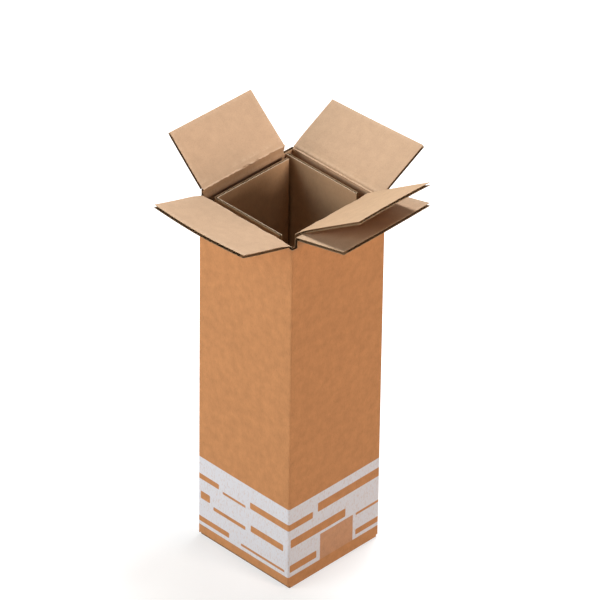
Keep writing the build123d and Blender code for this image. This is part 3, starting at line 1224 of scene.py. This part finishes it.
@dataclass
class TopFlap:
    """One flap of the outer pair, with the crease that carries its liner over to the wall."""

    name: str
    side: Side
    body: str
    turn: float
    twist: float
    rise: float
    crown: float
    buckle: float
    seed: float
    board: Board = Board(3.5 * MM)
    box_half: float = 65 * MM
    score_height: float = 424 * MM
    wall_top: float = 420.2 * MM
    depth: float = 64.75 * MM
    slot: float = 7.25 * MM
    end: float = 61.75 * MM
    stiff: float = 6 * MM
    crown_width: float = 38 * MM
    crown_level: float = 0.6
    billow: float = 1.0 * MM
    billow_scale: float = 60 * MM
    billow_slant: float = 0.3
    flute_start: float = 0.6 * MM
    flute_margin: float = 5 * MM
    flute_rows: int = 9
    column_step: float = 6 * MM
    level_step: float = 5.5 * MM
    end_rub: float = 2 * MM
    edge_rub: float = 2.5 * MM
    crease_step: float = 1.6 * MM
    crease_run: float = 2 * MM
    crease_points: tuple[int, int, int] = (6, 14, 4)
    crumple: Crumple = Crumple()

    @property
    def outward(self) -> np.ndarray:
        """Direction that the wall below the flap looks to."""
        return np.array([*self.side.outward, 0.0])

    @property
    def along(self) -> np.ndarray:
        """Direction along the score."""
        return np.array([*self.side.along, 0.0])

    @property
    def score(self) -> np.ndarray:
        """The score's middle."""
        return self.outward * self.box_half + UP * self.score_height

    @property
    def angle(self) -> float:
        """Turn from upright, in radians."""
        return math.radians(self.turn)

    @property
    def start(self) -> float:
        """Place of the score's middle on the flat sheet."""
        return self.side.value * 2 * self.box_half + self.box_half

    def lay(self, x: np.ndarray, v: np.ndarray, depth: np.ndarray) -> np.ndarray:
        """Places points on the flap.

        Args:
            x: Distance along the score from its middle.
            v: Distance out from the score.
            depth: Depth in the board, from its outer face.

        Returns:
            The points, in metres.
        """
        sine, cosine = math.sin(self.angle), math.cos(self.angle)
        v = np.maximum(v, depth)
        free = np.clip((v - self.stiff) / (self.depth - self.stiff), 0, 1)
        lift = free * (self.rise + self.twist * x / self.end)
        lift = lift + free ** 2 * self.crown * (np.cos(x / self.crown_width) - self.crown_level)
        billow = ripple(x + self.billow_slant * v, self.seed, self.billow_scale)
        lift = lift + free * (1 - free) * self.billow * billow
        flat = self.score + self.along * x[..., None] + (self.outward * sine + UP * cosine) * v[..., None]
        return flat + (UP * sine - self.outward * cosine) * (depth + lift)[..., None]

    def build(self, flutes: FluteTree, materials: Sequence[Material]) -> list[Piece]:
        """Builds the flap and its crease.

        Args:
            flutes: Maker of fluted paper.
            materials: One material for each paper.

        Returns:
            The flap's piece and the crease's piece.
        """
        b, low, high = self.board, self.slot - self.box_half, self.end
        t, stock = b.thickness, Stock()
        xs = np.array(spread(low, high, self.column_step))
        vs = tidy_levels([0.0, b.liner, t - b.liner, t], spread(t, self.depth, self.level_step))
        wear_and_highlight = np.maximum(near_any(xs, [low, high], self.end_rub)[:, None],
                          near_any(vs, [0.0, self.depth], self.edge_rub)[None, :])

        def place(depth: float) -> np.ndarray:
            """Grid of the flap at that depth."""
            x, v = np.meshgrid(xs, vs, indexing="ij")
            return self.lay(x, v, np.full_like(x, depth))

        Sheet(place, flat_places(self.start + xs, self.score_height + vs), wear_and_highlight).lay_board(stock, b)
        root, room = t + self.flute_start, high - low - self.flute_margin
        points, faces = flutes.make(b, room, self.depth - root - EDGE_INSET, self.flute_rows)
        laid = self.lay((low + high) / 2 + points[:, 0], root + points[:, 1], points[:, 2])
        stock.add(laid, faces, [Paper.FLUTE.value] * len(faces))
        flap = stock.piece(self.name + "_board", materials)
        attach(flap, self.body)
        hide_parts(self.name)
        return [flap, self._crease(materials)]

    def _crease_path(self) -> np.ndarray:
        """Follows the inner liner from the wall's top over the score to the flap.

        Returns:
            Points of the path, as distance outwards and upwards from the score.
        """
        t, drop = self.board.thickness, self.score_height - self.wall_top
        sine, cosine = math.sin(self.angle), math.cos(self.angle)
        ends = (1.0, self.angle, 1.0)
        up, turn, run = (np.linspace(0, end, n) for end, n in zip(ends, self.crease_points))
        wall = [(-t, -drop + drop * s) for s in up]
        arc = [(-t * math.cos(a), t * math.sin(a)) for a in turn[1:]]
        leaf = [(-t * cosine + s * t * sine, t * sine + s * t * cosine) for s in run[1:]]
        return np.array(wall + arc + leaf)

    def _crease(self, materials: Sequence[Material]) -> Piece:
        """Builds the inner liner where it bends over the score.

        Args:
            materials: One material for each paper.

        Returns:
            The crease's piece, which bends between the box and the flap.
        """
        path, score, out = self._crease_path(), self.score, self.outward
        xs = np.array(spread(self.slot - self.box_half, self.end, self.crease_step))
        share = np.linspace(0, 1, len(path))
        bead, past = self.crumple.lay(xs, share, self.seed)
        size = np.hypot(path[:, 0], path[:, 1])[None, :]

        def place(depth: float) -> np.ndarray:
            """Grid of the crease at that depth below its face."""
            flat = path[None, :, :] * ((size - depth + self.buckle * bead) / size)[..., None]
            return score + self.along * xs[:, None, None] + out * flat[..., :1] + UP * flat[..., 1:]

        runs = flat_places(self.start + xs, self.score_height + self.crease_run * share)
        stock = Stock()
        # The crease's rub channel is a painted highlight: the bead's height, on its upper side only
        Sheet(place, runs, np.clip(bead, 0, 1) * past).lay_liner(
            stock, (0.0, self.board.liner), (Paper.INSIDE, Paper.FLUTE))
        crease = stock.piece(self.name + "_crease", materials)
        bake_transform(crease)
        return crease


@dataclass
class Insert:
    """The upright sleeve inside the carton, one sheet with an open seam, a tail and a folded-out lid."""

    board: Board = Board(3.0 * MM)
    width: float = 109 * MM
    depth: float = 111 * MM
    foot: float = 7 * MM
    top: float = 415 * MM
    corner: float = 3.5 * MM
    seam: float = 4.0 * MM
    tail_end: float = 61.1 * MM
    lid_width: float = 98 * MM
    lid_length: float = 100 * MM
    lid_fold: float = 421.8 * MM
    lid_hollow: float = 1.0 * MM
    lid_turn: float = 57.0
    lid_sag: Sag = Sag(106 * MM, -1.2 * MM, 1.0 * MM, 36 * MM)
    lid_ragged: float = 0.7 * MM
    lid_margin: float = 2 * MM
    lid_step: float = 2.5 * MM
    lid_rows: int = 12
    bows: tuple[tuple[Side, float], ...] = (
        (Side.LEFT, -0.8 * MM), (Side.BACK, -0.5 * MM), (Side.RIGHT, 0.4 * MM))
    notch_length: float = 18 * MM
    notch_depth: float = 14 * MM
    strip_depth: float = 30 * MM
    strip_rows: int = 3
    column_step: float = 6 * MM
    level_step: float = 20 * MM
    upper_step: float = 7 * MM
    fold_step: float = 2 * MM
    fold_points: int = 8
    run_start: float = 1.0
    corner_rub: float = 0.7
    rub_width: float = 2 * MM

    @property
    def notch(self) -> float:
        """Where the notches beside the lid start, from the middle of a side panel."""
        return self.depth / 2 - self.notch_length

    @property
    def seam_end(self) -> float:
        """Where the back panel starts, past the open seam."""
        return -(self.width / 2 - self.board.thickness - self.seam)

    def tube(self) -> FoldedTube:
        """Sets out the sleeve's fold lines.

        Returns:
            The folded sheet.
        """
        return FoldedTube(
            self.board, (self.width / 2, self.depth / 2), self.corner, self.foot,
            folds={Side.FRONT: Fold(self.lid_fold, self.lid_hollow, self.lid_turn, self.lid_length)},
            bow=dict(self.bows), sag={Side.FRONT: self.lid_sag}, ragged={Side.FRONT: self.lid_ragged})

    def columns(self) -> list[Column]:
        """Sets out the upright grid lines from the open seam round to the tail.

        Returns:
            The lines.
        """
        hx, hy, step = self.width / 2, self.depth / 2, self.column_step
        wide, deep, lid = hx - self.corner, hy - self.corner, self.lid_width / 2
        back = spread(self.seam_end, wide, step)
        left = sorted({*spread(-deep, self.notch, step), *spread(self.notch, deep, step)})
        front = sorted({-wide, wide, *spread(-lid, lid, self.lid_step)})
        right = sorted({*spread(-deep, -self.notch, step), *spread(-self.notch, self.tail_end, step)})
        return wrap_columns(((hx, back), (hy, left), (hx, front), (hy, right)), self.corner,
                            self.run_start, False)

    def reach(self, a: Column, b: Column) -> Span:
        """Finds how far the sheet goes between two columns.

        Args:
            a: One column.
            b: The next one.

        Returns:
            The lowest and the highest level.
        """
        notched = {Side.LEFT: b.x > self.notch + SLACK, Side.RIGHT: a.x < -self.notch - SLACK,
                   Side.FRONT: max(abs(a.x), abs(b.x)) >= self.lid_width / 2 + SLACK, Side.BACK: False}
        if a.is_bend() or b.is_bend():
            low_top = a.side is not Side.BACK
        else:
            low_top = notched[a.side]
            if a.side is Side.FRONT and not low_top:
                return self.foot, self.tube().folds[Side.FRONT].tip
        return self.foot, self.top - self.notch_depth if low_top else self.top

    def build(self, flutes: FluteTree, materials: Sequence[Material]) -> Piece:
        """Builds the insert.

        Args:
            flutes: Maker of fluted paper.
            materials: One material for each paper.

        Returns:
            The insert's piece.
        """
        tube, stock, low_top = self.tube(), Stock(), self.top - self.notch_depth
        fold = tube.folds[Side.FRONT]
        levels = tidy_levels(
            spread(self.foot, low_top, self.level_step), spread(low_top, self.top, self.upper_step),
            spread(self.top, fold.height, self.fold_step),
            np.linspace(fold.height, fold.flat, self.fold_points),
            spread(fold.flat, fold.tip, self.upper_step))
        sheet = tube.sheet(self.columns(), levels, self.reach, self.corner_rub,
                           [self.top, fold.height, fold.tip], self.rub_width)
        # Cut edges below the sleeve's top take the pale rim paper, a painted highlight
        sheet.rim_end = int(np.searchsorted(levels, self.top - SLACK))
        sheet.lay_board(stock, self.board)
        strip = (self.top - EDGE_INSET - self.strip_depth, self.strip_depth)
        for side, across in ((Side.LEFT, (-(self.depth / 2 - self.corner), self.notch)),
                             (Side.RIGHT, (-self.notch, self.tail_end)),
                             (Side.BACK, (self.seam_end, self.width / 2 - self.corner))):
            tube.lay_flutes(stock, flutes, side, across, strip, self.strip_rows)
        half = self.lid_width / 2 - self.lid_margin
        # The lid's flutes are dressed in the dark fluted paper of the cut-edge slot, painted shade along the
        # lid's edge
        tube.lay_flutes(stock, flutes, Side.FRONT, (-half, half), tube.leaf_span(fold), self.lid_rows,
                        Paper.CUT)
        piece = stock.piece("insert_board", materials)
        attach(piece, "box")
        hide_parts("insert")
        return piece


@dataclass(frozen=True)
class Lamp:
    """One soft square lamp that looks at the box: watts, width of its face, place and colour."""

    name: str
    power: float
    size: float
    place: Triple
    tint: Triple
    target: Triple = (0.0, 0.0, 0.25)

    def hang(self) -> None:
        """Adds the lamp to the scene."""
        light = bpy.data.lights.new(self.name, "AREA")
        light.energy, light.size, light.color = self.power, self.size, self.tint
        lamp = bpy.data.objects.new(self.name, light)
        lamp.location = self.place
        facing = Vector(self.target) - Vector(self.place)
        lamp.rotation_euler = facing.to_track_quat("-Z", "Y").to_euler()
        bpy.context.scene.collection.objects.link(lamp)


@dataclass
class Studio:
    """Pale floor, soft light and the camera at the photograph's angle."""

    focal_px: float = 6143.08
    frame_px: float = 600.0
    azimuth: float = -45.368
    elevation: float = 35.005
    roll: float = 0.778
    aim: Triple = (0.0, 0.0, 200 * MM)
    shift_right: float = -9.792 * MM
    shift_up: float = -76.48 * MM
    distance: float = 6162.39 * MM
    sensor: float = 36.0
    clip_end: float = 100.0
    sky: float = 0.03
    floor_half: float = 30.0
    floor_drop: float = 0.3 * MM
    floor_grey: Colour = (0.42, 0.425, 0.43, 1.0)
    floor_near: float = 0.62
    floor_fade: Span = (0.1, 0.42)
    lamps: tuple[Lamp, ...] = (
        Lamp("overhead", 58.5, 0.5, (0.7, 0.12, 2.75), (0.99, 1.01, 1.03)),
        Lamp("low_left", 40.0, 1.2, (-2.3, 0.9, 0.72), (1.13, 1.0, 0.89)),
        Lamp("low_front", 37.5, 0.65, (0.5, -2.45, 1.1), (1.19, 0.98, 0.82)),
        Lamp("side", 20.0, 1.2, (-2.0, 1.2, 1.6), (0.86, 0.99, 1.04)),
        Lamp("low_rear", 28.0, 1.4, (2.1, 1.6, 0.8), (1.0, 0.97, 0.90)))

    def build(self) -> None:
        """Sets up floor, world, lamps, camera and view."""
        self._floor()
        self._world()
        for lamp in self.lamps:
            lamp.hang()
        self._camera()
        bpy.context.scene.view_settings.view_transform = "Standard"

    def _floor(self) -> None:
        """Adds the floor, white to the camera apart from the box's soft shadow."""
        mesh = bpy.data.meshes.new("floor")
        corners = [(x * self.floor_half, y * self.floor_half, -self.floor_drop)
                   for x, y in ((-1, -1), (1, -1), (1, 1), (-1, 1))]
        mesh.from_pydata(corners, [], [(0, 1, 2, 3)])
        floor = bpy.data.objects.new("floor", mesh)
        bpy.context.scene.collection.objects.link(floor)
        made = bpy.data.materials.new("studio_floor")
        w = fresh_wiring(made)
        ray = w.add("ShaderNodeLightPath").outputs
        seen = w.math("MAXIMUM", ray["Is Camera Ray"], ray["Is Glossy Ray"])
        spot = w.add("ShaderNodeTexCoord").outputs["Object"]
        away = w.add("ShaderNodeVectorMath", {0: spot}, operation="LENGTH").outputs["Value"]
        white = w.math("MULTIPLY", w.ramp(away, *self.floor_fade), 1.0 - self.floor_near)
        white = w.math("MULTIPLY", seen, w.math("ADD", white, self.floor_near))
        glow = w.add("ShaderNodeEmission", {"Strength": white})
        ground = w.add("ShaderNodeBsdfDiffuse", {"Color": self.floor_grey})
        both = w.add("ShaderNodeAddShader", {0: ground.outputs[0], 1: glow.outputs[0]})
        w.add("ShaderNodeOutputMaterial", {"Surface": both.outputs[0]})
        mesh.materials.append(made)

    def _world(self) -> None:
        """Lights the scene evenly, with a white background for the camera."""
        world = bpy.data.worlds.new("studio")
        bpy.context.scene.world = world
        w = fresh_wiring(world)
        ray = w.add("ShaderNodeLightPath").outputs
        seen = w.math("MAXIMUM", ray["Is Camera Ray"], ray["Is Glossy Ray"])
        seen = w.math("MAXIMUM", seen, ray["Is Transmission Ray"])
        bright = w.math("ADD", w.math("MULTIPLY", seen, 1.0 - self.sky), self.sky)
        sky = w.add("ShaderNodeBackground", {"Strength": bright})
        w.add("ShaderNodeOutputWorld", {"Surface": sky.outputs[0]})

    def _camera(self) -> None:
        """Adds the camera, fitted to the box's corners in the photograph."""
        a, e, r = (math.radians(v) for v in (self.azimuth, self.elevation, self.roll))
        back = Vector((math.sin(a) * math.cos(e), -math.cos(a) * math.cos(e), math.sin(e)))
        level = Vector((math.cos(a), math.sin(a), 0.0))
        rise = back.cross(level)
        right = level * math.cos(r) + rise * math.sin(r)
        up = rise * math.cos(r) - level * math.sin(r)
        lens = bpy.data.cameras.new("camera")
        lens.sensor_width = self.sensor
        lens.lens = self.sensor * self.focal_px / self.frame_px
        lens.clip_end = self.clip_end
        camera = bpy.data.objects.new("camera", lens)
        place = Vector(self.aim) + back * self.distance - right * self.shift_right - up * self.shift_up
        turn = Matrix((right, up, back)).transposed().to_4x4()
        camera.matrix_world = Matrix.Translation(place) @ turn
        bpy.context.scene.collection.objects.link(camera)
        bpy.context.scene.camera = camera


def main() -> None:
    """Builds every piece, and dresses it."""
    logging.basicConfig(level=logging.INFO, format="%(name)s: %(message)s")
    effects = BoardEffects()
    made = {f.name: f.material(effects) for f in FINISHES}
    papers, sleeve_papers = ([made[n] for n in names] for names in (CARTON_PAPERS, INSERT_PAPERS))
    flutes = FluteTree(made["fluted_paper_with_painted_shade"])
    front = TopFlap("flap_front", Side.FRONT, "front_flap", turn=75.5, twist=0.55 * MM, rise=-1.35 * MM,
                    crown=-0.4 * MM, buckle=0.25 * MM, seed=2.7)
    back = TopFlap("flap_back", Side.BACK, "back_flap", turn=47.5, twist=0.8 * MM, rise=0.0,
                   crown=-1.0 * MM, buckle=2.0 * MM, seed=5.9, depth=63.5 * MM, slot=15.0 * MM,
                   end=63.0 * MM)
    pieces = [Carton().build(flutes, papers)]
    pieces += front.build(flutes, papers)
    pieces += back.build(flutes, papers)
    pieces.append(Insert().build(flutes, sleeve_papers))
    for piece in pieces:
        LOG.info("%s: %d faces", piece.name, len(piece.data.polygons))
    Studio().build()
    bpy.context.view_layer.update()


if __name__ == "__main__":
    main()
